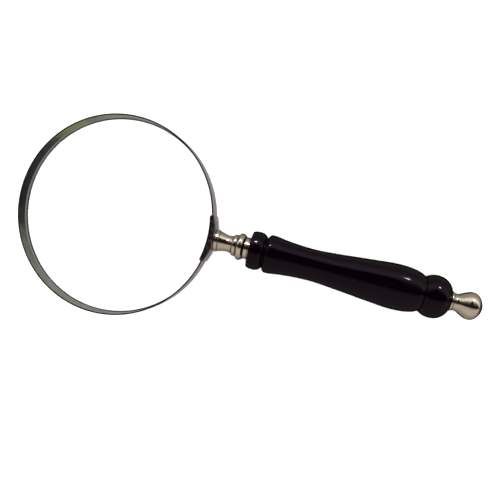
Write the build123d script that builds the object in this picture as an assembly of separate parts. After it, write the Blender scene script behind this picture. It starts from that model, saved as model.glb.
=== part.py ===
from build123d import *

import os
from math import cos, radians, sin

# A round reading glass on a turned wooden handle: a 102 mm lens in a split metal rim, a turned
# metal neck, an ebonised handle and a metal finial. Everything is in millimetres.
#
# Frame: the origin is the centre of the rim, on the lens axis and halfway between the rim's two
# edges. +X runs along the handle, away from the lens. +Z is the lens axis, towards the open side
# of the rim, from which the lens was fitted.

# ---------------------------------------------------------------- driving dimensions

# Rim: a strip rolled into a ring, with a lip turned in along its rear edge.
rim_outer_radius = 52.0
rim_width = 12.0
band_thickness = 0.75
lip_thickness = 0.35
lip_reach = 0.3
rim_edge_round = 0.12
split_gap = 0.6

# Lens: unequal biconvex glass with a ground edge.
lens_radius = 51.15
lens_edge_thickness = 2.6
lens_edge_bevel = 0.2
lens_front_curve = 170.0
lens_back_curve = 1150.0

# Spring ring that snaps in over the lens, and stops at the two ends of the inner strap.
spring_wire_radius = 0.3
spring_ring_half_gap = 15.0

# The strap inside the rim and the saddle outside it bridge the split. The saddle's outer face
# is rounder than the rim, so that the saddle is thickest in the middle, under the neck.
strap_half_angle = 13.5
strap_thickness = 1.0
strap_end_bevel = 0.6
saddle_face_radius = 30.2
saddle_crest = 53.8
saddle_edge_drop = 0.55
saddle_edge_width = 1.2
saddle_end_bevel = 0.3

# Fasteners of the rim joint. The rivets stand in one row, two on each side of the split.
rivet_angles = (-11.2, -7.4, 7.4, 11.2)
rivet_radius = 0.7
rivet_head_radius = 1.1
rivet_end_overshoot = 0.3
screw_radius = 1.3
screw_head_radius = 1.9
screw_slot_width = 0.5
screw_slot_depth = 0.35
screw_tip = 60.0
screw_tip_bevel = 0.3

# The tie rod screws into the neck and the finial, and draws the handle up between them.
tie_rod_radius = 2.4
tie_rod_shank_radius = 2.15
tie_rod_start = 62.8
tie_rod_end = 184.0
tie_rod_end_bevel = 0.4
front_thread_length = 6.0
rear_thread_length = 11.0
handle_bore_radius = 2.6

# Stations along the handle axis.
neck_end = 69.3
handle_front = 72.35
handle_rear = 174.7
finial_tip = 190.6
collar_radius = 5.5
collar_bevel = 0.25

# Play between two pieces that touch, the depth left free past the end of a screw, and how far a
# cutting tool runs out past the face that it cuts.
seat_play = 0.02
thread_play = 0.03
blind_end = 0.6
runout = 1.0

# ---------------------------------------------------------------- worked-out places


def sag(curve_radius, at_radius):
    """How far a spherical face of this curve falls away at a given distance from its axis."""
    return curve_radius - (curve_radius**2 - at_radius**2) ** 0.5


def rise_from_edge(curve_radius, at_radius):
    """How far a face of the lens stands out past the lens's edge, at a given distance from the axis."""
    return sag(curve_radius, lens_radius) - sag(curve_radius, at_radius)


rim_front = rim_width / 2
rim_back = -rim_width / 2
band_inner_radius = rim_outer_radius - band_thickness
lip_radius = band_inner_radius - lip_reach
lens_back_edge = rim_back + lip_thickness + seat_play + rise_from_edge(lens_back_curve, lip_radius)
lens_front_edge = lens_back_edge + lens_edge_thickness
strap_outer_radius = band_inner_radius - seat_play
strap_inner_radius = strap_outer_radius - strap_thickness
saddle_inner_radius = rim_outer_radius + seat_play
saddle_face_centre = saddle_crest - saddle_face_radius
strap_bottom = lens_front_edge + rise_from_edge(lens_front_curve, strap_inner_radius) + seat_play


# ---------------------------------------------------------------- helpers


def turn_about_x(outline):
    """A lathe-turned solid: a closed outline in the XY plane, spun about the handle axis."""
    return revolve(make_face(outline), axis=Axis.X)


def ring_about_z(section, start_angle=0.0, arc=360.0):
    """A section drawn in the XZ plane, spun about the lens axis from start_angle."""
    return Rot(0, 0, start_angle) * revolve(section, axis=Axis.Z, revolution_arc=arc)


def section_from(points):
    """A closed face in the XZ plane from (radius, height) corners."""
    return make_face(Polyline([(radius, 0, height) for radius, height in points], close=True))


def rod_along_x(radius, start, end):
    """A plain round bar on the handle axis."""
    return Pos((start + end) / 2, 0, 0) * Rot(0, 90, 0) * Cylinder(radius, end - start)


def cone_along_x(start_radius, end_radius, start, end):
    """A straight taper on the handle axis."""
    return Pos((start + end) / 2, 0, 0) * Rot(0, 90, 0) * Cone(start_radius, end_radius, end - start)


def write(node, shape):
    """One STEP file for each sub-part, named after its node."""
    export_step(shape, f"parts/{node}.step")


def upright_bar(radius, centre_x):
    """A plain round bar parallel to the lens axis, longer than the rim is wide."""
    return Pos(centre_x, 0, 0) * Cylinder(radius, rim_width + 2 * runout)


def distance_from_lens_axis(edge):
    """How far the middle of an edge stands from the lens axis."""
    middle = edge.center()
    return (middle.X**2 + middle.Y**2) ** 0.5


# ---------------------------------------------------------------- lens and rim


def lens():
    """Biconvex glass. Its rear edge lies on the rim's lip."""
    back_apex = lens_back_edge - sag(lens_back_curve, lens_radius)
    front_apex = lens_front_edge + sag(lens_front_curve, lens_radius)
    half_way = lens_radius / 2
    back_middle = back_apex + sag(lens_back_curve, half_way)
    front_middle = front_apex - sag(lens_front_curve, half_way)
    outline = [
        ThreePointArc((0, 0, back_apex), (half_way, 0, back_middle), (lens_radius, 0, lens_back_edge)),
        Line((lens_radius, 0, lens_back_edge), (lens_radius, 0, lens_front_edge)),
        ThreePointArc((lens_radius, 0, lens_front_edge), (half_way, 0, front_middle), (0, 0, front_apex)),
        Line((0, 0, front_apex), (0, 0, back_apex)),
    ]
    glass = ring_about_z(make_face(outline))
    return chamfer(glass.edges().filter_by(GeomType.CIRCLE), lens_edge_bevel)


def rim_band(rivets):
    """The rolled strip, split at the handle, with the small lip that the lens rests on."""
    section = section_from(
        [
            (lip_radius, rim_back),
            (rim_outer_radius, rim_back),
            (rim_outer_radius, rim_front),
            (band_inner_radius, rim_front),
            (band_inner_radius, rim_back + lip_thickness),
            (lip_radius, rim_back + lip_thickness),
        ]
    )
    band = ring_about_z(section)
    circles = band.edges().filter_by(GeomType.CIRCLE)
    inner_corner = circles.filter_by_position(Axis.Z, rim_back, rim_front, inclusive=(False, False))
    band = fillet(circles - inner_corner, rim_edge_round)
    cut_depth = band_thickness + lip_reach + runout
    gap = Pos(rim_outer_radius, 0, 0) * Box(2 * cut_depth, split_gap, rim_width + 2 * runout)
    hole = rod_along_x(screw_radius + thread_play, strap_inner_radius, saddle_crest)
    return band - gap - hole - rivets


def lens_spring_ring():
    """An open ring of round spring wire, bedded in the corner between the band and the lens."""
    wire_circle_radius = band_inner_radius - seat_play - spring_wire_radius
    glass_under_wire = lens_front_edge + rise_from_edge(lens_front_curve, wire_circle_radius)
    wire_height = glass_under_wire + spring_wire_radius + 2 * seat_play
    wire = Pos(wire_circle_radius, 0, wire_height) * Rot(90, 0, 0) * Circle(spring_wire_radius)
    return ring_about_z(wire, spring_ring_half_gap, 360 - 2 * spring_ring_half_gap)


# ---------------------------------------------------------------- rim joint


def saddle_reach(angle):
    """The saddle's outer face, measured from the lens axis in the direction of an angle."""
    across = saddle_face_centre * sin(radians(angle))
    along = saddle_face_centre * cos(radians(angle))
    return along + (saddle_face_radius**2 - across**2) ** 0.5


def rivets():
    """Flush rivets with countersunk heads, dressed to the curves of the strap and the saddle."""
    stack = upright_bar(saddle_face_radius, saddle_face_centre) - upright_bar(strap_inner_radius, 0)
    head = rivet_head_radius - rivet_radius + rivet_end_overshoot
    wide = rivet_head_radius + rivet_end_overshoot
    inner_end = strap_inner_radius - rivet_end_overshoot
    row_height = (strap_bottom + rim_front) / 2
    row = []
    for angle in rivet_angles:
        outer_end = saddle_reach(angle) + rivet_end_overshoot
        rivet = rod_along_x(rivet_radius, inner_end, outer_end)
        rivet += cone_along_x(wide, rivet_radius, inner_end, inner_end + head)
        rivet += cone_along_x(rivet_radius, wide, outer_end - head, outer_end)
        row.append((Rot(0, 0, angle) * Pos(0, 0, row_height) * rivet) & stack)
    return row


def inner_strap(rivets):
    """The blackened strap inside the rim, with its ends bevelled off."""
    section = section_from(
        [
            (strap_inner_radius, strap_bottom),
            (strap_outer_radius, strap_bottom),
            (strap_outer_radius, rim_front),
            (strap_inner_radius, rim_front),
        ]
    )
    strap = ring_about_z(section, -strap_half_angle, 2 * strap_half_angle)
    half_way = strap_inner_radius + strap_thickness / 2
    inner_ends = [e for e in strap.edges().filter_by(Axis.Z) if distance_from_lens_axis(e) < half_way]
    strap = chamfer(inner_ends, strap_end_bevel)
    sink_start = strap_inner_radius - runout
    sink_end = strap_inner_radius + screw_head_radius - screw_radius
    sink = cone_along_x(screw_head_radius + runout, screw_radius, sink_start, sink_end)
    hole = rod_along_x(screw_radius + thread_play, sink_start, strap_outer_radius + runout)
    return strap - sink - hole - rivets


def saddle_plate(rivets):
    """The plated saddle outside the rim, bevelled along both edges, that carries the neck."""
    low_radius = saddle_face_radius - saddle_edge_drop
    flat_half_width = rim_front - saddle_edge_width
    section = section_from(
        [
            (0, rim_back),
            (low_radius, rim_back),
            (saddle_face_radius, -flat_half_width),
            (saddle_face_radius, flat_half_width),
            (low_radius, rim_front),
            (0, rim_front),
        ]
    )
    saddle = Pos(saddle_face_centre, 0, 0) * ring_about_z(section) - upright_bar(saddle_inner_radius, 0)
    sector = section_from([(0, rim_back), (saddle_crest, rim_back), (saddle_crest, rim_front), (0, rim_front)])
    saddle &= ring_about_z(sector, -strap_half_angle, 2 * strap_half_angle)
    ends = saddle.edges().filter_by(Axis.Z)
    half_way = (saddle_inner_radius + saddle_reach(strap_half_angle)) / 2
    outer_ends = [e for e in ends if distance_from_lens_axis(e) > half_way]
    saddle = chamfer(outer_ends, saddle_end_bevel)
    hole = rod_along_x(screw_radius + thread_play, rim_outer_radius - runout, saddle_crest + runout)
    return saddle - hole - rivets


def neck_screw():
    """Countersunk screw that pulls the neck on to the saddle from inside the rim."""
    head_face = strap_inner_radius + seat_play
    head_radius = screw_head_radius - thread_play
    sink_end = head_face + head_radius - screw_radius
    screw = cone_along_x(head_radius, screw_radius, head_face, sink_end)
    screw += rod_along_x(screw_radius, sink_end, screw_tip - screw_tip_bevel)
    screw += cone_along_x(screw_radius, screw_radius - screw_tip_bevel, screw_tip - screw_tip_bevel, screw_tip)
    slot_length = 2 * (screw_head_radius + runout)
    slot = Pos(head_face, 0, 0) * Box(2 * screw_slot_depth, screw_slot_width, slot_length)
    return screw - slot


# ---------------------------------------------------------------- neck, handle and finial


def neck():
    """Turned neck: a rounded foot, a long cove, a small bead and the large bead."""
    blank_start = (52.4, 5.3)
    foot = (54.7, 5.62)
    foot_end = (56.0, 5.1)
    cove_start = (56.6, 5.02)
    cove_waist = (61.3, 4.25)
    small_bead_foot = (63.3, 4.9)
    small_bead = (64.9, 5.62)
    bead_groove = (65.7, 5.4)
    large_bead = (67.4, 7.0)
    large_bead_foot = (neck_end, 5.6)
    outline = [
        Line((blank_start[0], 0), blank_start),
        Spline([blank_start, foot, foot_end], tangents=[(1, 0.2), (0.3, -1)]),
        Spline([foot_end, cove_start, cove_waist, small_bead_foot, small_bead], tangents=[(1, -0.1), (1, 0)]),
        Spline([small_bead, bead_groove], tangents=[(1, 0), (0.8, -0.7)]),
        Spline([bead_groove, large_bead], tangents=[(0.1, 1), (1, 0)]),
        Spline([large_bead, large_bead_foot], tangents=[(1, 0), (-0.1, -1)]),
        Line(large_bead_foot, (neck_end, 0)),
        Line((neck_end, 0), (blank_start[0], 0)),
    ]
    turned = turn_about_x(outline)
    saddle_cut = upright_bar(saddle_face_radius + seat_play, saddle_face_centre)
    screw_hole = rod_along_x(screw_radius + thread_play, saddle_crest - runout, screw_tip + blind_end)
    rod_hole = rod_along_x(tie_rod_radius + thread_play, tie_rod_start - blind_end, neck_end + runout)
    return turned - saddle_cut - screw_hole - rod_hole


def neck_collar():
    """The short ring between the neck and the wood."""
    start = neck_end + seat_play
    end = handle_front - seat_play
    ring = chamfer(rod_along_x(collar_radius, start, end).edges(), collar_bevel)
    return ring - rod_along_x(tie_rod_radius + thread_play, start - runout, end + runout)


def handle():
    """One turning of ebonised wood: front collar, V groove, grip, crease and rear ball."""
    collar_front = (handle_front, 9.3)
    collar_rise = (73.6, 9.72)
    collar_crest = (75.9, 9.9)
    collar_fall = (77.2, 9.74)
    collar_corner = (78.4, 9.27)
    collar_rear = (79.3, 8.55)
    groove_floor_start = (79.7, 7.8)
    groove_floor_end = (80.4, 7.8)
    grip_corner = (80.9, 9.0)
    grip_rise = (81.3, 9.5)
    grip_shoulder = (82.5, 9.9)
    grip_slope = (90.4, 8.93)
    grip_waist = (103.6, 8.12)
    grip_swell = (120.5, 9.2)
    grip_belly = (135.4, 10.62)
    grip_crest = (148.3, 11.52)
    grip_fall = (155.1, 10.9)
    grip_end = (159.6, 9.45)
    rear_crease = (161.0, 8.75)
    ball_start = (161.25, 9.2)
    ball_rise = (163.6, 10.4)
    ball_crest = (166.4, 10.86)
    ball_fall = (170.5, 10.05)
    ball_corner = (173.1, 8.05)
    ball_end = (handle_rear, 4.9)
    outline = [
        Line((handle_front, 0), collar_front),
        Spline(
            [collar_front, collar_rise, collar_crest, collar_fall, collar_corner, collar_rear],
            tangents=[(1, 0.4), (0.8, -0.9)],
        ),
        Line(collar_rear, groove_floor_start),
        Line(groove_floor_start, groove_floor_end),
        Line(groove_floor_end, grip_corner),
        Spline([grip_corner, grip_rise, grip_shoulder], tangents=[(0.3, 1), (1, 0)]),
        Spline(
            [grip_shoulder, grip_slope, grip_waist, grip_swell, grip_belly, grip_crest, grip_fall, grip_end],
            tangents=[(1, 0), (0.8, -0.5)],
        ),
        Spline([grip_end, rear_crease], tangents=[(0.8, -0.5), (0.8, -0.45)]),
        Line(rear_crease, ball_start),
        Spline([ball_start, ball_rise, ball_crest], tangents=[(0.8, 0.6), (1, 0)]),
        Spline([ball_crest, ball_fall, ball_corner, ball_end], tangents=[(1, 0), (0.1, -1)]),
        Line(ball_end, (handle_rear, 0)),
        Line((handle_rear, 0), (handle_front, 0)),
    ]
    return turn_about_x(outline) - rod_along_x(handle_bore_radius, handle_front - runout, handle_rear + runout)


def tie_rod():
    """The steel rod inside the handle, full size where it is threaded and slimmer between."""
    front_thread_end = tie_rod_start + front_thread_length
    rear_thread_start = tie_rod_end - rear_thread_length
    tip_radius = tie_rod_radius - tie_rod_end_bevel
    rod = rod_along_x(tie_rod_shank_radius, front_thread_end, rear_thread_start)
    rod += rod_along_x(tie_rod_radius, tie_rod_start + tie_rod_end_bevel, front_thread_end)
    rod += rod_along_x(tie_rod_radius, rear_thread_start, tie_rod_end - tie_rod_end_bevel)
    rod += cone_along_x(tip_radius, tie_rod_radius, tie_rod_start, tie_rod_start + tie_rod_end_bevel)
    rod += cone_along_x(tie_rod_radius, tip_radius, tie_rod_end - tie_rod_end_bevel, tie_rod_end)
    return rod


def finial():
    """The turned nut at the rear end: a small foot ring, a waist and a pear-shaped knob."""
    start = handle_rear + seat_play
    foot = (start, 4.85)
    foot_crest = (175.3, 4.9)
    foot_end = (176.0, 4.45)
    waist = (177.4, 4.15)
    swell = (181.1, 5.85)
    crest = (184.5, 6.98)
    shoulder = (187.3, 6.3)
    dome = (189.3, 4.1)
    tip = (finial_tip, 0)
    outline = [
        Line((start, 0), foot),
        Spline([foot, foot_crest, foot_end], tangents=[(1, 0.3), (0.3, -1)]),
        Spline([foot_end, waist, swell, crest], tangents=[(1, -0.1), (1, 0)]),
        Spline([crest, shoulder, dome, tip], tangents=[(1, 0), (0, -1)]),
        Line(tip, (start, 0)),
    ]
    rod_hole = rod_along_x(tie_rod_radius + thread_play, start - runout, tie_rod_end + blind_end)
    return turn_about_x(outline) - rod_hole


# ---------------------------------------------------------------- write the sub-parts

os.makedirs("parts", exist_ok=True)
rivet_row = rivets()
write("lens", lens())
write("rim_band", rim_band(rivet_row))
write("lens_spring_ring", lens_spring_ring())
write("inner_strap", inner_strap(rivet_row))
write("saddle_plate", saddle_plate(rivet_row))
write("strap_rivets", Compound(children=rivet_row))
write("neck_screw", neck_screw())
write("neck", neck())
write("neck_collar", neck_collar())
write("handle", handle())
write("tie_rod", tie_rod())
write("finial", finial())
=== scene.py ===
"""Looks for the handled reading glass: materials, smooth turned pieces, stage, lights and camera.

Everything is in metres, in the CAD frame: the origin is the centre of the rim, +X runs along the
handle and +Z is the lens axis, towards the open side of the rim. The outlines of the turned pieces
are written in millimetres, as (station, radius) points, and MM turns them into metres.
"""

from math import acos, atan2, cos, degrees, pi, radians, sin, sqrt

import bmesh
import bpy
from mathutils import Matrix, Vector


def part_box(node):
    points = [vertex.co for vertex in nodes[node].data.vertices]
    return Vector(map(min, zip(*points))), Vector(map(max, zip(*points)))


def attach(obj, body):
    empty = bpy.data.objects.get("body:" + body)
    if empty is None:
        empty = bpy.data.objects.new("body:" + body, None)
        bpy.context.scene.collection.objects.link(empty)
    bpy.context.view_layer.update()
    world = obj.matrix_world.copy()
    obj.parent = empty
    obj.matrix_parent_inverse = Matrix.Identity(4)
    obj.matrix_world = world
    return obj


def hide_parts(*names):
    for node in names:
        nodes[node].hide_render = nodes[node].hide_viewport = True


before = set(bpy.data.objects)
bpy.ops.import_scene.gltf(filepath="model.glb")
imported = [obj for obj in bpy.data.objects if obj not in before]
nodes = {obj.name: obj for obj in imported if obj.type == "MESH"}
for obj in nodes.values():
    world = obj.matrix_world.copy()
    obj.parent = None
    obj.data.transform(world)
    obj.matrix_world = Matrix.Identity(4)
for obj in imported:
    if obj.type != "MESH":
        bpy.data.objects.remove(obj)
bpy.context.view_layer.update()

MM = 0.001

# ---------------------------------------------------------------- places read from the frame

rim_low, rim_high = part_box("rim_band")
lens_low, lens_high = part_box("lens")
_, saddle_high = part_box("saddle_plate")
_, neck_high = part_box("neck")
collar_low, collar_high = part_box("neck_collar")
handle_low, handle_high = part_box("handle")
finial_low, finial_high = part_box("finial")

rim_radius = rim_high.y
rim_back = rim_low.z
rim_front = rim_high.z
lens_radius = lens_high.y

# ---------------------------------------------------------------- stations along the handle, in mm

neck_seat = saddle_high.x / MM
neck_foot_end = 55.9
bead_foot = 63.1
bead_groove = 65.35
neck_end = neck_high.x / MM
collar_start, collar_end = collar_low.x / MM, collar_high.x / MM
handle_start, handle_end = handle_low.x / MM, handle_high.x / MM
finial_start, finial_tip = finial_low.x / MM, finial_high.x / MM
finial_foot_end = 176.0

# The widest place of the handle's front collar, on which the glass also lies: station and radius.
front_crest, front_crest_radius = 75.9, 9.9

# ---------------------------------------------------------------- node helpers


def new_material(name):
    """An empty node material, with its output node."""
    material = bpy.data.materials.new(name)
    material.use_nodes = True
    material.node_tree.nodes.clear()
    output = material.node_tree.nodes.new("ShaderNodeOutputMaterial")
    return material, material.node_tree, output


class Nodes:
    """Adds nodes to a tree and links them in one call each."""

    def __init__(self, tree):
        self.tree = tree

    def add(self, kind, settings=None, **inputs):
        """A node of this kind. An input is a plain value, or a socket to link from."""
        node = self.tree.nodes.new(kind)
        for key, value in (settings or {}).items():
            setattr(node, key, value)
        for key, value in inputs.items():
            socket = self.socket(node, key)
            if isinstance(value, bpy.types.NodeSocket):
                self.tree.links.new(value, socket)
            else:
                socket.default_value = value
        return node

    @staticmethod
    def socket(node, key):
        """The input called key, with underscores for spaces, or the input numbered in_N."""
        if key.startswith("in_"):
            return node.inputs[int(key[3:])]
        return node.inputs[key.replace("_", " ")]

    def math(self, operation, first, second=0.0):
        settings = {"operation": operation}
        return self.add("ShaderNodeMath", settings, in_0=first, in_1=second).outputs[0]

    def ramp(self, factor, stops, interpolation="EASE"):
        """A colour ramp from (position, colour) stops."""
        node = self.add("ShaderNodeValToRGB", in_0=factor)
        ramp = node.color_ramp
        ramp.interpolation = interpolation
        while len(ramp.elements) < len(stops):
            ramp.elements.new(0.5)
        for element, (position, colour) in zip(ramp.elements, stops):
            element.position = position
            element.color = (*colour, 1.0)
        return node.outputs["Color"]

    def remap(self, value, low, high, to_low=0.0, to_high=1.0):
        """A value between low and high, brought smoothly to the range to_low to to_high."""
        settings = {"interpolation_type": "SMOOTHSTEP"}
        places = {"in_0": value, "in_1": low, "in_2": high, "in_3": to_low, "in_4": to_high}
        return self.add("ShaderNodeMapRange", settings, **places).outputs[0]

    def near(self, value, place, reach):
        """One where the value is at a place, easing off to nothing within reach of it."""
        distance = self.math("ABSOLUTE", self.math("SUBTRACT", value, place))
        return self.remap(distance, 0.0, reach, 1.0, 0.0)

    def towards(self, x, y, bearing):
        """How nearly the point lies on a bearing about the lens axis: 1 on it, -1 opposite it."""
        along = self.math(
            "ADD",
            self.math("MULTIPLY", x, cos(bearing)),
            self.math("MULTIPLY", y, sin(bearing)),
        )
        return self.math("DIVIDE", along, self.from_axis(x, y))

    def from_axis(self, x, y):
        """The point's distance from the lens axis."""
        squares = self.math("ADD", self.math("MULTIPLY", x, x), self.math("MULTIPLY", y, y))
        return self.math("SQRT", squares)

    def mix(self, factor, first, second):
        """A blend of two colours, each a plain colour or a socket."""
        node = self.add("ShaderNodeMix", {"data_type": "RGBA"})
        for index, value in ((0, factor), (6, first), (7, second)):
            if isinstance(value, bpy.types.NodeSocket):
                self.tree.links.new(value, node.inputs[index])
            elif index:
                node.inputs[index].default_value = (*value, 1.0)
            else:
                node.inputs[index].default_value = value
        return node.outputs[2]

    def blend(self, factor, first, second):
        """A blend of two shaders."""
        shaders = {"in_1": first.outputs[0], "in_2": second.outputs[0]}
        return self.add("ShaderNodeMixShader", in_0=factor, **shaders)

    def noise(self, place, scale, detail=4.0, roughness=0.5, distortion=0.0):
        settings = {"Scale": scale, "Detail": detail, "Roughness": roughness, "Distortion": distortion}
        return self.add("ShaderNodeTexNoise", Vector=place, **settings).outputs[0]

    def place(self, scale=(1.0, 1.0, 1.0)):
        """The point's place in its object's own frame, in metres, stretched along each axis. On the
        pieces of the glass that is the CAD frame."""
        coordinates = self.add("ShaderNodeTexCoord").outputs["Object"]
        return self.add("ShaderNodeMapping", Vector=coordinates, Scale=scale).outputs[0]

    def axes(self):
        """The point's x, y and z in its object's own frame, in metres."""
        return self.add("ShaderNodeSeparateXYZ", Vector=self.place()).outputs

    def bump(self, height, distance):
        return self.add("ShaderNodeBump", Height=height, Distance=distance).outputs[0]

    def finish(self, output, shader):
        self.tree.links.new(shader.outputs[0], output.inputs["Surface"])


def finish_piece(piece, material):
    """Puts one material on every face of a piece."""
    piece.data.materials.clear()
    piece.data.materials.append(material)


# ---------------------------------------------------------------- materials


def nickel_material():
    """Old bright nickel plate: warm, with faint turning marks, hazy patches, a few tiny pits, and
    dirt and painted shade in the creases."""
    material, tree, output = new_material("nickel_plate")
    n = Nodes(tree)
    haze = n.noise(n.place(), 120.0, detail=6.0, roughness=0.6)
    turning = n.noise(n.place((3000.0, 70.0, 70.0)), 1.0, detail=3.0)
    scratches = n.noise(n.place((260.0, 1500.0, 1500.0)), 1.0, detail=2.0, distortion=0.6)
    pits = n.remap(n.noise(n.place(), 1500.0, detail=2.0), 0.70, 0.78)
    x, _, _ = n.axes()
    # Dirt and painted shade at the creases of the neck and the finial: darker, rougher bands.
    neck_creases = (neck_seat, neck_foot_end, bead_foot, bead_groove, neck_end, collar_end)
    crease_reach = 0.45 * MM
    crease_dirt_and_shade = 0.0
    for station in (*neck_creases, finial_start, finial_foot_end):
        crease_dirt_and_shade = n.math("MAXIMUM", crease_dirt_and_shade, n.near(x, station * MM, crease_reach))
    colour = n.ramp(haze, [(0.3, (0.60, 0.535, 0.455)), (0.7, (0.68, 0.615, 0.53))])
    colour = n.mix(n.math("MULTIPLY", pits, 0.25), colour, (0.36, 0.29, 0.22))
    # Darkens the colour at the creases: dirt and painted crease shade.
    colour = n.mix(n.math("MULTIPLY", crease_dirt_and_shade, 0.85), colour, (0.09, 0.06, 0.04))
    height = n.math("ADD", n.math("MULTIPLY", turning, 0.5), n.math("MULTIPLY", scratches, 0.5))
    polish = n.remap(haze, 0.3, 0.7, 0.09, 0.05)
    shader = n.add(
        "ShaderNodeBsdfPrincipled",
        Base_Color=colour,
        Metallic=1.0,
        Roughness=n.math("MAXIMUM", polish, n.math("MULTIPLY", crease_dirt_and_shade, 0.3)),
        Specular_Tint=(0.42, 0.40, 0.38, 1.0),
        Normal=n.bump(height, 0.0000012),
    )
    n.finish(output, shader)
    return material


def rim_material():
    """The rim: tarnished grey plate outside and a near-black front edge. Inside, a dull olive painted
    reflection of dark surroundings, darkest at the far end and browner towards -Y, over a lighter
    band next to the glass."""
    material, tree, output = new_material("rim_plate")
    n = Nodes(tree)
    x, y, z = n.axes()
    inside = n.remap(n.from_axis(x, y), rim_radius - 0.5 * MM, rim_radius - 0.3 * MM, 1.0, 0.0)
    drawn = n.noise(n.place((45.0, 45.0, 2200.0)), 1.0, detail=4.0, roughness=0.6)
    haze = n.noise(n.place(), 70.0, detail=6.0, roughness=0.6)

    # Painted reflection on the inner wall: darker by bearing, darkest at the far end, broken up by the
    # haze.
    darkest_reflection_bearing = radians(175)
    depth = n.towards(x, y, darkest_reflection_bearing)
    blotched = n.math("ADD", depth, n.math("MULTIPLY", n.math("SUBTRACT", haze, 0.5), 0.5))
    stain_and_painted_reflection = n.ramp(
        blotched,
        [
            (0.0, (0.16, 0.155, 0.14)),
            (0.35, (0.155, 0.155, 0.125)),
            (0.65, (0.095, 0.102, 0.065)),
            (0.82, (0.042, 0.048, 0.030)),
            (0.93, (0.010, 0.012, 0.007)),
            (1.0, (0.006, 0.0045, 0.004)),
        ],
    )
    # Painted reflection: browner towards -Y.
    brownish = n.remap(y, -0.15 * rim_radius, -0.85 * rim_radius, 0.0, 0.6)
    stain_and_painted_reflection = n.mix(brownish, stain_and_painted_reflection, (0.135, 0.122, 0.110))
    # Painted reflection: a small green patch.
    green_bearing = radians(131)
    green_spot = n.remap(n.towards(x, y, green_bearing), 0.975, 1.0, 0.0, 0.5)
    stain_and_painted_reflection = n.mix(green_spot, stain_and_painted_reflection, (0.17, 0.185, 0.045))
    band_top = rim_back + 5.68 * MM
    light_band = n.remap(z, band_top - 0.4 * MM, band_top, 0.9, 0.0)
    stain_and_painted_reflection = n.mix(light_band, stain_and_painted_reflection, (0.175, 0.170, 0.190))
    plate = n.ramp(haze, [(0.3, (0.54, 0.52, 0.58)), (0.7, (0.64, 0.62, 0.68))])
    outer = n.add(
        "ShaderNodeBsdfPrincipled",
        Base_Color=plate,
        Metallic=1.0,
        Roughness=n.remap(drawn, 0.3, 0.7, 0.22, 0.32),
        Specular_Tint=(0.86, 0.84, 0.90, 1.0),
        Normal=n.bump(drawn, 0.000004),
    )
    inner = n.add(
        "ShaderNodeBsdfPrincipled",
        Base_Color=stain_and_painted_reflection,
        Roughness=n.remap(drawn, 0.3, 0.7, 0.45, 0.6),
        Specular_IOR_Level=0.04,
        Normal=n.bump(drawn, 0.000008),
    )
    rub = n.noise(n.place(), 500.0, detail=5.0, roughness=0.6)
    # The front edge is near black, with dark brown specks.
    near_black_edge = n.add(
        "ShaderNodeBsdfPrincipled",
        Base_Color=n.ramp(rub, [(0.4, (0.002, 0.0015, 0.0015)), (0.7, (0.022, 0.016, 0.013))]),
        Roughness=0.45,
        Specular_IOR_Level=0.08,
    )
    front_edge = n.remap(z, rim_front - 0.30 * MM, rim_front - 0.12 * MM)
    n.finish(output, n.blend(front_edge, n.blend(inside, outer, inner), near_black_edge))
    return material


def blackened_material():
    """The strap: metal blackened, with brownish specks where it has rubbed."""
    material, tree, output = new_material("blackened_metal")
    n = Nodes(tree)
    rub = n.noise(n.place(), 500.0, detail=6.0, roughness=0.65)
    colour = n.ramp(
        rub,
        [
            (0.3, (0.001, 0.0008, 0.0008)),
            (0.55, (0.004, 0.0025, 0.002)),
            (0.75, (0.035, 0.022, 0.016)),
        ],
    )
    shader = n.add(
        "ShaderNodeBsdfPrincipled",
        Base_Color=colour,
        Roughness=n.remap(rub, 0.3, 0.7, 0.6, 0.4),
        Specular_IOR_Level=0.08,
        Normal=n.bump(rub, 0.00003),
    )
    n.finish(output, shader)
    return material


def steel_material(name, colour_low, colour_high, roughness_low, roughness_high):
    """Plain steel, for the screw, the rod and the spring wire."""
    material, tree, output = new_material(name)
    n = Nodes(tree)
    grain = n.noise(n.place(), 500.0, detail=4.0)
    shader = n.add(
        "ShaderNodeBsdfPrincipled",
        Base_Color=n.ramp(grain, [(0.3, colour_low), (0.7, colour_high)]),
        Metallic=1.0,
        Roughness=n.remap(grain, 0.3, 0.7, roughness_low, roughness_high),
        Normal=n.bump(grain, 0.000004),
    )
    n.finish(output, shader)
    return material


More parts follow.
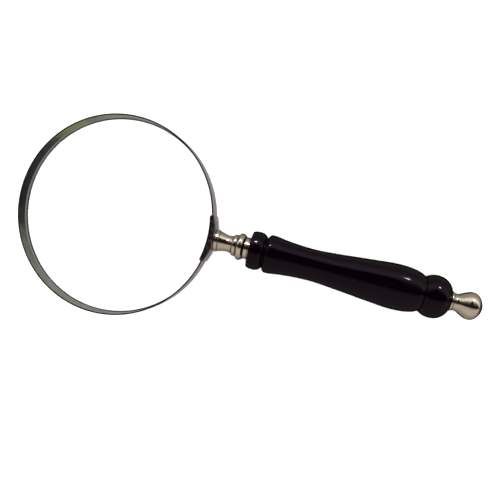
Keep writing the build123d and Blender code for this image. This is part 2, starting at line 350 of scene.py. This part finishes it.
def ebony_material():
    """Black-stained wood under lacquer: faint grain along the handle, dulled patches, fine pores.
    Seen edge-on, the lacquer gives way to the matt black stain: a painted dark outline."""
    material, tree, output = new_material("ebonised_wood")
    n = Nodes(tree)
    grain = n.noise(n.place((14.0, 420.0, 420.0)), 1.0, detail=5.0, roughness=0.6, distortion=0.4)
    pores = n.noise(n.place((160.0, 2600.0, 2600.0)), 1.0, detail=2.0)
    wear = n.noise(n.place(), 60.0, detail=6.0, roughness=0.6)
    colour = n.ramp(
        grain,
        [
            (0.3, (0.0006, 0.0001, 0.0006)),
            (0.6, (0.0011, 0.0003, 0.0012)),
            (0.8, (0.0024, 0.0012, 0.0022)),
        ],
    )
    height = n.math("ADD", n.math("MULTIPLY", grain, 0.4), n.math("MULTIPLY", pores, 0.3))
    lacquer = n.add(
        "ShaderNodeBsdfPrincipled",
        Base_Color=colour,
        Roughness=n.remap(wear, 0.3, 0.7, 0.05, 0.09),
        Specular_IOR_Level=0.16,
        Specular_Tint=(0.92, 0.74, 1.0, 1.0),
        Normal=n.bump(height, 0.000003),
    )
    # Painted dark outline: seen edge-on, the matt black stain takes the place of the lacquer's
    # reflection.
    stain_and_painted_reflection = n.add("ShaderNodeBsdfDiffuse", Color=(0.0012, 0.0006, 0.0010, 1.0))
    facing = n.add("ShaderNodeLayerWeight", Blend=0.5).outputs["Facing"]
    painted_dark_outline = n.remap(facing, 0.40, 0.74, 0.0, 0.95)
    n.finish(output, n.blend(painted_dark_outline, lacquer, stain_and_painted_reflection))
    return material


def glass_material():
    """Clear crown glass. Shadow and diffuse rays pass it unbent, so that the floor under it is lit."""
    material, tree, output = new_material("lens_glass")
    n = Nodes(tree)
    glass = n.add(
        "ShaderNodeBsdfPrincipled",
        Base_Color=(1.0, 1.0, 1.0, 1.0),
        Roughness=0.0,
        IOR=1.52,
        Transmission_Weight=1.0,
    )
    clear = n.add("ShaderNodeBsdfTransparent", Color=(0.97, 0.98, 0.97, 1.0))
    path = n.add("ShaderNodeLightPath")
    passing = n.math("MAXIMUM", path.outputs["Is Shadow Ray"], path.outputs["Is Diffuse Ray"])
    n.finish(output, n.blend(passing, glass, clear))
    return material


def ground_edge_material():
    """The lens's rim, ground matt and grey."""
    material, tree, output = new_material("ground_glass_edge")
    n = Nodes(tree)
    grit = n.noise(n.place(), 1500.0, detail=3.0)
    shader = n.add(
        "ShaderNodeBsdfPrincipled",
        Base_Color=n.ramp(grit, [(0.3, (0.15, 0.145, 0.165)), (0.7, (0.22, 0.21, 0.235))]),
        Roughness=0.8,
        Normal=n.bump(grit, 0.00002),
    )
    n.finish(output, shader)
    return material


# ---------------------------------------------------------------- outlines


def smooth_run(points, start, end):
    """A smooth curve through (station, radius) points, in mm, with the given directions at its ends."""
    steps = 8
    points = [Vector(point) for point in points]
    gaps = [(b - a).length for a, b in zip(points, points[1:])]
    slopes = [(b - a) / gap for a, b, gap in zip(points, points[1:], gaps)]
    directions = [Vector(start).normalized()]
    for before, after, gap_before, gap_after in zip(slopes, slopes[1:], gaps, gaps[1:]):
        directions.append((before * gap_after + after * gap_before) / (gap_before + gap_after))
    directions.append(Vector(end).normalized())
    curve = [points[0]]
    for index, gap in enumerate(gaps):
        a, b = points[index], points[index + 1]
        leave, arrive = directions[index] * gap, directions[index + 1] * gap
        for step in range(1, steps + 1):
            t = step / steps
            curve.append(
                a * (2 * t**3 - 3 * t**2 + 1)
                + leave * (t**3 - 2 * t**2 + t)
                + b * (3 * t**2 - 2 * t**3)
                + arrive * (t**3 - t**2)
            )
    return curve


def straight_run(first, last):
    """The two ends of a straight line."""
    return [Vector(first), Vector(last)]


def joined(runs, corner_round, closed=False):
    """Runs joined end to end. A corner between two runs is eased by a small round, unless the bend
    there is too slight to need it."""
    slight_bend = 12
    outline = []
    for index, run in enumerate(runs):
        following = runs[(index + 1) % len(runs)] if closed or index + 1 < len(runs) else None
        outline.extend(run[1:-1] if outline or closed else run[:-1])
        if following is None:
            outline.append(run[-1])
            continue
        corner = run[-1]
        leaving = (run[-2] - corner).normalized()
        entering = (following[1] - corner).normalized()
        bend = 180 - degrees(acos(max(-1.0, min(1.0, leaving.dot(entering)))))
        if bend < slight_bend:
            outline.append(corner)
            continue
        shortest = min((run[-2] - corner).length, (following[1] - corner).length)
        reach = min(corner_round, 0.45 * shortest)
        before, after = corner + leaving * reach, corner + entering * reach
        for t in (0.0, 0.25, 0.5, 0.75, 1.0):
            outline.append(before * (1 - t) ** 2 + corner * 2 * t * (1 - t) + after * t**2)
    return outline


# ---------------------------------------------------------------- turned meshes

TURNED_SEGMENTS = 128


def turned(name, outline, segments, axis, start_angle=0.0, arc=2 * pi, closed=True):
    """A mesh turned about an axis of the frame, from an outline of (station, radius) points in metres.
    A closed outline gives a ring. A point on the axis becomes a pole. An arc short of a full turn has
    its two ends filled in."""
    on_axis = 1e-7
    sharp_edge = radians(40)
    full = arc > 2 * pi - 1e-6
    columns = segments if full else segments + 1
    mesh = bmesh.new()
    rings = []
    for station, radius in outline:
        ring = []
        for index in range(1 if radius < on_axis else columns):
            angle = start_angle + arc * index / segments
            across, up = radius * cos(angle), radius * sin(angle)
            ring.append(mesh.verts.new((across, up, station) if axis == "Z" else (station, across, up)))
        rings.append(ring)
    for lower, upper in zip(rings, rings[1:] + rings[:1] if closed else rings[1:]):
        for index in range(segments):
            after = (index + 1) % columns
            corners = []
            for ring, column in ((lower, index), (lower, after), (upper, after), (upper, index)):
                vertex = ring[column % len(ring)]
                if vertex not in corners:
                    corners.append(vertex)
            if len(corners) > 2:
                mesh.faces.new(corners)
    if not full:
        mesh.faces.new([ring[0] for ring in rings])
        mesh.faces.new([ring[-1] for ring in rings])
    bmesh.ops.recalc_face_normals(mesh, faces=mesh.faces)
    data = bpy.data.meshes.new(name)
    mesh.to_mesh(data)
    mesh.free()
    data.polygons.foreach_set("use_smooth", [True] * len(data.polygons))
    data.set_sharp_from_angle(angle=sharp_edge)
    piece = bpy.data.objects.new(name, data)
    bpy.context.scene.collection.objects.link(piece)
    return piece


def stands_for(piece, node, material):
    """Makes a piece stand for a CAD node, with its material slot."""
    finish_piece(piece, material)
    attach(piece, "root")
    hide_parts(node)


def turned_along_handle(name, node, material, runs, bore, corner_round):
    """A piece turned about the handle axis, with a straight bore through it. Runs are in mm."""
    first, last = runs[0][0], runs[-1][-1]
    corners = [last, (last[0], bore), (first[0], bore), first]
    bore_runs = [straight_run(a, b) for a, b in zip(corners, corners[1:])]
    outline = [point * MM for point in joined(runs + bore_runs, corner_round, closed=True)]
    piece = turned(name, outline, TURNED_SEGMENTS, "X")
    stands_for(piece, node, material)
    return piece


def face_fall(curve, radius):
    """How far a spherical face of this curve has fallen away at this distance from its axis."""
    return curve - sqrt(curve * curve - radius * radius)


# ---------------------------------------------------------------- lens and rim


def lens_piece():
    """The lens with truly round faces and a bevelled, ground edge."""
    front_curve = 170 * MM
    back_curve = 1150 * MM
    bevel = 0.2 * MM
    steps = 40
    face_radius = lens_radius - bevel
    front_apex = lens_high.z
    back_apex = lens_low.z
    radii = [face_radius * step / steps for step in range(steps + 1)]
    back = [(back_apex + face_fall(back_curve, radius), radius) for radius in radii]
    front = [(front_apex - face_fall(front_curve, radius), radius) for radius in reversed(radii)]
    edge = [(back[-1][0] + bevel, lens_radius), (front[0][0] - bevel, lens_radius)]
    piece = turned("lens_glass", back + edge + front, 2 * TURNED_SEGMENTS, "Z", closed=False)
    stands_for(piece, "lens", glass_material())
    piece.data.materials.append(ground_edge_material())
    for polygon in piece.data.polygons:
        if polygon.center.to_2d().length > face_radius:
            polygon.material_index = 1


def rim_piece(material):
    """The rolled strip with eased edges, a small lip at its back and the split at the handle."""
    band = 0.75
    lip_thickness = 0.35
    lip_reach = 0.3
    edge_round = 0.12
    half_gap = 0.3 * MM / rim_radius
    arc = 2 * pi - 2 * half_gap
    back, front, outer = rim_back / MM, rim_front / MM, rim_radius / MM
    corners = [
        (back, outer),
        (front, outer),
        (front, outer - band),
        (back + lip_thickness, outer - band),
        (back + lip_thickness, outer - band - lip_reach),
        (back, outer - band - lip_reach),
    ]
    runs = [straight_run(a, b) for a, b in zip(corners, corners[1:] + corners[:1])]
    outline = [point * MM for point in joined(runs, edge_round, closed=True)]
    piece = turned("rim_strip", outline, 3 * TURNED_SEGMENTS, "Z", start_angle=half_gap, arc=arc)
    stands_for(piece, "rim_band", material)


# ---------------------------------------------------------------- neck, handle and finial


def neck_piece(material):
    """The neck: a rounded foot, hollowed to sit on the saddle, a long cove, a small bead and the
    large bead."""
    foot_corner = (neck_foot_end, 5.15)
    cove_end = (bead_foot, 4.8)
    groove = (bead_groove, 5.25)
    large_bead = [groove, (65.9, 6.35), (67.1, 7.0), (68.5, 6.5), (neck_end, 5.55)]
    runs = [
        smooth_run([(neck_seat, 5.47), (54.7, 5.62), foot_corner], (1, 0.25), (0.3, -1)),
        smooth_run([foot_corner, (56.6, 5.0), (61.3, 4.25), cove_end], (1, -0.1), (1, 0.6)),
        smooth_run([cove_end, (63.35, 5.2), (64.3, 5.62), groove], (0.1, 1), (0.5, -1)),
        smooth_run(large_bead, (0.1, 1), (-0.1, -1)),
    ]
    bore = 1.33
    piece = turned_along_handle("neck_turning", "neck", material, runs, bore, 0.15)
    saddle_curve = 30.22 * MM
    seat_depth = 0.2
    for vertex in piece.data.vertices:
        if vertex.co.x < (neck_seat + seat_depth) * MM:
            vertex.co.x -= face_fall(saddle_curve, vertex.co.y)


def collar_piece(material):
    """The short ring between the neck and the wood, with a fine groove near the wood."""
    radius = collar_high.y / MM
    front_bevel, rear_bevel = 0.25, 0.1
    groove = collar_end - 0.75
    depth = 0.2
    corners = [
        (collar_start, radius - front_bevel),
        (collar_start + front_bevel, radius),
        (groove - depth, radius),
        (groove, radius - depth),
        (groove + depth, radius),
        (collar_end - rear_bevel, radius),
        (collar_end, radius - rear_bevel),
    ]
    runs = [straight_run(a, b) for a, b in zip(corners, corners[1:])]
    bore = 2.43
    turned_along_handle("collar_ring", "neck_collar", material, runs, bore, 0.08)


def handle_piece(material):
    """The handle: front collar, V groove, grip, crease and rear ball."""
    collar_rear = (79.3, 8.55)
    groove_front, groove_rear = (79.85, 7.8), (80.2, 7.8)
    grip_corner = (80.9, 9.0)
    grip_shoulder = (82.5, 9.9)
    belly_radius = handle_high.z / MM - 0.03
    grip_end = (159.6, 9.45)
    crease = (161.0, 8.75)
    ball_start = (161.25, 9.2)
    ball_crest = (166.4, 10.86)
    front_collar = [
        (handle_start, 9.3),
        (73.6, 9.72),
        (front_crest, front_crest_radius),
        (77.2, 9.74),
        (78.4, 9.27),
        collar_rear,
    ]
    grip = [
        grip_shoulder,
        (90.4, 8.93),
        (103.6, 8.12),
        (120.5, 9.2),
        (135.4, 10.62),
        (148.3, belly_radius),
        (155.1, 10.9),
        grip_end,
    ]
    runs = [
        smooth_run(front_collar, (1, 0.4), (0.8, -0.9)),
        straight_run(collar_rear, groove_front),
        straight_run(groove_front, groove_rear),
        straight_run(groove_rear, grip_corner),
        smooth_run([grip_corner, (81.3, 9.5), grip_shoulder], (0.3, 1), (1, 0)),
        smooth_run(grip, (1, 0), (0.8, -0.5)),
        smooth_run([grip_end, crease], (0.8, -0.5), (0.8, -0.45)),
        straight_run(crease, ball_start),
        smooth_run([ball_start, (163.6, 10.4), ball_crest], (0.8, 0.6), (1, 0)),
        smooth_run([ball_crest, (170.5, 10.05), (173.1, 8.05), (handle_end, 4.9)], (1, 0), (0.1, -1)),
    ]
    bore = 2.6
    turned_along_handle("handle_turning", "handle", material, runs, bore, 0.2)


def finial_piece(material):
    """The finial: a small foot, a waist and a pear-shaped knob, with a blind bore from the foot."""
    bore = 2.43
    bore_end = 184.6
    foot_corner = (finial_start, 4.85)
    waist_start = (finial_foot_end, 4.45)
    crest = (184.5, 6.98)
    runs = [
        straight_run((bore_end, 0), (bore_end, bore)),
        straight_run((bore_end, bore), (finial_start, bore)),
        straight_run((finial_start, bore), foot_corner),
        smooth_run([foot_corner, (175.3, 4.9), waist_start], (1, 0.3), (0.3, -1)),
        smooth_run([waist_start, (177.4, 4.15), (181.1, 5.85), crest], (1, -0.1), (1, 0)),
        smooth_run([crest, (187.3, 6.3), (189.3, 4.1), (finial_tip, 0)], (1, 0), (0, -1)),
    ]
    outline = [point * MM for point in joined(runs, 0.15)]
    piece = turned("finial_turning", outline, TURNED_SEGMENTS, "X", closed=False)
    stands_for(piece, "finial", material)


nickel = nickel_material()
plate = rim_material()
steel = steel_material("turned_steel", (0.38, 0.38, 0.39), (0.5, 0.5, 0.51), 0.25, 0.4)
wire = steel_material("spring_wire", (0.05, 0.05, 0.055), (0.10, 0.10, 0.11), 0.35, 0.5)

lens_piece()
rim_piece(plate)
neck_piece(nickel)
collar_piece(nickel)
handle_piece(ebony_material())
finial_piece(nickel)
for node, material in (
    ("saddle_plate", plate),
    ("strap_rivets", plate),
    ("inner_strap", blackened_material()),
    ("neck_screw", steel),
    ("tie_rod", steel),
    ("lens_spring_ring", wire),
):
    finish_piece(nodes[node], material)

# ---------------------------------------------------------------- stage


def flat_sheet(name, width, depth):
    """A flat stage mesh centred on its origin, facing up."""
    mesh = bmesh.new()
    bmesh.ops.create_grid(mesh, x_segments=1, y_segments=1, size=0.5)
    for vertex in mesh.verts:
        vertex.co.x *= width
        vertex.co.y *= depth
    data = bpy.data.meshes.new(name)
    mesh.to_mesh(data)
    mesh.free()
    sheet = bpy.data.objects.new(name, data)
    bpy.context.scene.collection.objects.link(sheet)
    return sheet


def mirrored_shade(n):
    """How bright the floor is in the shiny surfaces: dim under the handle and close beside it, and
    dark under the waist of the finial."""
    x, y, _ = n.axes()
    aside = n.math("ABSOLUTE", y)
    open_floor = n.remap(aside, 6 * MM, 34 * MM, 0.22, 1.0)
    past_rim = n.remap(x, 52 * MM, 64 * MM)
    dimmed = n.math("MULTIPLY", past_rim, n.math("SUBTRACT", 1.0, open_floor))
    by_finial = n.near(x, 180 * MM, 9 * MM)
    dark = n.math("MULTIPLY", n.remap(aside, 14 * MM, 28 * MM, 1.0, 0.0), by_finial)
    return n.math("MULTIPLY", n.math("SUBTRACT", 1.0, dimmed), n.math("SUBTRACT", 1.0, dark))


def make_floor():
    """A pale floor. The glass lies on it on two points: the far edge of the rim and the front collar
    of the handle, so the floor slopes a little in the glass's own frame. It is clear from below, so
    that a view from there shows the glass."""
    slope = (-front_crest_radius * MM - rim_back) / (front_crest * MM - rim_low.x)
    clearance = 0.05 * MM
    reach = 12.0
    floor = flat_sheet("floor", reach, reach)
    floor.rotation_euler = (0, -atan2(slope, 1), 0)
    floor.location = (0, 0, rim_back - slope * rim_low.x - clearance)
    material, tree, output = new_material("pale_floor")
    n = Nodes(tree)
    cloud = n.noise(n.place(), 3.0, detail=2.0)
    tone = n.ramp(cloud, [(0.0, (0.88, 0.88, 0.88)), (1.0, (0.9, 0.9, 0.9))])
    paper = n.add("ShaderNodeBsdfDiffuse", Color=tone)
    path = n.add("ShaderNodeLightPath").outputs
    reflected = n.math("SUBTRACT", path["Is Glossy Ray"], path["Is Transmission Ray"])
    # Painted reflection of the floor: glossy rays see a glowing warm grey, with painted shade under and
    # beside the handle and beside the finial's waist.
    mirrored = n.add("ShaderNodeEmission", Color=(0.40, 0.37, 0.335, 1.0), Strength=mirrored_shade(n))
    backfacing = n.add("ShaderNodeNewGeometry").outputs["Backfacing"]
    from_below = n.math("MULTIPLY", backfacing, path["Is Camera Ray"])
    clear = n.add("ShaderNodeBsdfTransparent")
    n.finish(output, n.blend(from_below, n.blend(reflected, paper, mirrored), clear))
    finish_piece(floor, material)


def make_dark_card():
    """A soft-edged dark card overhead, that only the shiny surfaces show."""
    width, depth = 0.24, 0.40
    card = flat_sheet("dark_card", width, depth)
    card.location = (0.135, 0.115, 0.33)
    card.visible_camera = False
    card.visible_diffuse = False
    card.visible_shadow = False
    card.visible_transmission = False
    material, tree, output = new_material("dark_card")
    n = Nodes(tree)
    across = n.place((2 / width, 2 / depth, 0.0))
    reach = n.add("ShaderNodeVectorMath", {"operation": "LENGTH"}, in_0=across).outputs["Value"]
    faded = n.remap(reach, 0.72, 1.0)
    dark = n.add("ShaderNodeEmission", Color=(0.022, 0.014, 0.011, 1.0))
    clear = n.add("ShaderNodeBsdfTransparent")
    n.finish(output, n.blend(faded, dark, clear))
    finish_piece(card, material)


def make_sky():
    """Soft room light, and a plain pale backdrop where the camera looks past the floor. The light
    changes with the lean from the zenith towards +Y, in degrees. Around the zenith it is dark, in a
    band that runs along the handle. It turns bright towards +Y, warm and even towards -Y, and dims to
    the horizon on both sides."""
    world = bpy.data.worlds.new("room")
    bpy.context.scene.world = world
    world.use_nodes = True
    tree = world.node_tree
    tree.nodes.clear()
    n = Nodes(tree)
    direction = n.add("ShaderNodeTexCoord").outputs["Generated"]
    _, y, z = n.add("ShaderNodeSeparateXYZ", Vector=direction).outputs
    lean = n.math("ARCTAN2", y, z)
    turn = n.math("ADD", n.math("MULTIPLY", lean, 0.5 / pi), 0.5)
    tones = [
        (-180, (0.36, 0.33, 0.30)),
        (-100, (0.50, 0.465, 0.425)),
        (-70, (0.60, 0.56, 0.515)),
        (-30, (0.62, 0.58, 0.53)),
        (-17, (0.34, 0.31, 0.28)),
        (-8, (0.016, 0.008, 0.007)),
        (8, (0.020, 0.012, 0.010)),
        (28, (0.17, 0.15, 0.135)),
        (44, (0.85, 0.82, 0.77)),
        (54, (1.35, 1.32, 1.26)),
        (66, (1.05, 1.02, 0.96)),
        (82, (0.58, 0.55, 0.51)),
        (98, (0.32, 0.30, 0.28)),
        (180, (0.36, 0.33, 0.30)),
    ]
    stops = [((angle + 180) / 360, colour) for angle, colour in tones]
    tone = n.ramp(turn, stops, "LINEAR")
    path = n.add("ShaderNodeLightPath").outputs
    seen = n.math("MAXIMUM", path["Is Camera Ray"], path["Is Transmission Ray"])
    backdrop = n.mix(seen, tone, (0.80, 0.80, 0.80))
    background = n.add("ShaderNodeBackground", Color=backdrop, Strength=1.0)
    n.finish(n.add("ShaderNodeOutputWorld"), background)


def make_light(name, place, target, size, radiance, spread=180):
    """An oval soft light that faces a target, with its long axis along the handle. It has the power
    of a plain source of this radiance, and a narrow spread, in degrees, gathers that forwards."""
    length, width = size
    data = bpy.data.lights.new(name, "AREA")
    data.shape = "ELLIPSE"
    data.size = length
    data.size_y = width
    data.spread = radians(spread)
    area = pi / 4 * length * width
    data.energy = pi * radiance * area
    light = bpy.data.objects.new(name, data)
    bpy.context.scene.collection.objects.link(light)
    light.location = place
    aim = Vector(target) - Vector(place)
    light.rotation_euler = aim.to_track_quat("-Z", "Y").to_euler()
    return light


def make_lights():
    """Two compact keys, over the neck and over the finial, that only the shiny surfaces show, and a
    wide top light that only brightens."""
    near = make_light(
        "key_neck",
        place=(0.018, 0.23, 0.17),
        target=(0.050, 0.0, 0.0),
        size=(0.116, 0.018),
        radiance=3.6,
        spread=25,
    )
    far = make_light(
        "key_finial",
        place=(0.245, 0.235, 0.16),
        target=(0.1785, 0.0, 0.0),
        size=(0.07, 0.024),
        radiance=0.58,
        spread=11,
    )
    for key in (near, far):
        key.visible_diffuse = False
    top = make_light(
        "top",
        place=(0.05, 0.05, 1.6),
        target=(0.06, 0.0, 0.0),
        size=(1.6, 1.6),
        radiance=9.0,
    )
    top.visible_glossy = False


def make_camera():
    """Looks down on the glass from the handle's side of the lens."""
    place = Vector((104.33, 9.27, 302.75)) * MM
    looking = Vector((-0.10482, -0.03189, -0.99398)).normalized()
    up = Vector((-0.2489, 0.96852, -0.00483))
    right = looking.cross(up).normalized()
    up = right.cross(looking)
    data = bpy.data.cameras.new("camera")
    data.sensor_width = 36.0
    data.lens = 42.81
    data.clip_start = 0.01
    data.clip_end = 50.0
    camera = bpy.data.objects.new("camera", data)
    bpy.context.scene.collection.objects.link(camera)
    turn = Matrix((right, up, -looking)).transposed().to_4x4()
    camera.matrix_world = Matrix.Translation(place) @ turn
    bpy.context.scene.camera = camera


make_floor()
make_dark_card()
make_sky()
make_lights()
make_camera()
bpy.context.scene.view_settings.view_transform = "Standard"
